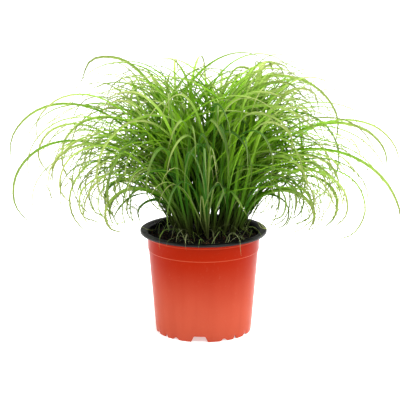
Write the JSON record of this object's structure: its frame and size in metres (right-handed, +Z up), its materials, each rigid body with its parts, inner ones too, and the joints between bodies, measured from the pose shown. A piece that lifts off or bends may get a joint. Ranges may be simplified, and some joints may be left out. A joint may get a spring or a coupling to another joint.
{
  "type": "potted ornamental grass",
  "caption": "Potted ornamental grass: a dense clump of long keeled leaves that arch over and curl down, in a round plastic nursery pot with a flat brim and notched foot.",
  "frame": {"origin": "centre of the pot's foot, on the surface it stands on", "axes": "+Z up along the pot's axis, -Y towards the viewer of the picture, +X to the picture's right"},
  "size_m": [0.3662, 0.3221, 0.2609],
  "materials": {
    "pot_plastic": "satin",
    "soil": "matte",
    "leaf": "satin"
  },
  "bodies": {
    "root": {"pot": "pot_plastic", "potting_soil": "soil", "shoot_01": "leaf", "shoot_02": "leaf", "shoot_03": "leaf", "shoot_04": "leaf", "shoot_05": "leaf", "shoot_06": "leaf", "shoot_07": "leaf", "shoot_08": "leaf", "shoot_09": "leaf", "shoot_10": "leaf", "shoot_11": "leaf", "shoot_12": "leaf", "shoot_13": "leaf", "shoot_14": "leaf", "shoot_15": "leaf", "shoot_16": "leaf", "shoot_17": "leaf", "shoot_18": "leaf", "shoot_19": "leaf", "shoot_20": "leaf", "shoot_21": "leaf", "shoot_22": "leaf", "shoot_23": "leaf", "shoot_24": "leaf", "shoot_25": "leaf", "shoot_26": "leaf", "shoot_27": "leaf", "shoot_28": "leaf", "shoot_29": "leaf", "shoot_30": "leaf", "shoot_31": "leaf", "shoot_32": "leaf", "shoot_33": "leaf", "shoot_34": "leaf", "shoot_35": "leaf", "shoot_36": "leaf", "shoot_37": "leaf", "shoot_38": "leaf", "shoot_39": "leaf", "shoot_40": "leaf", "shoot_41": "leaf", "shoot_42": "leaf", "shoot_43": "leaf", "shoot_44": "leaf"}
  },
  "joints": []
}
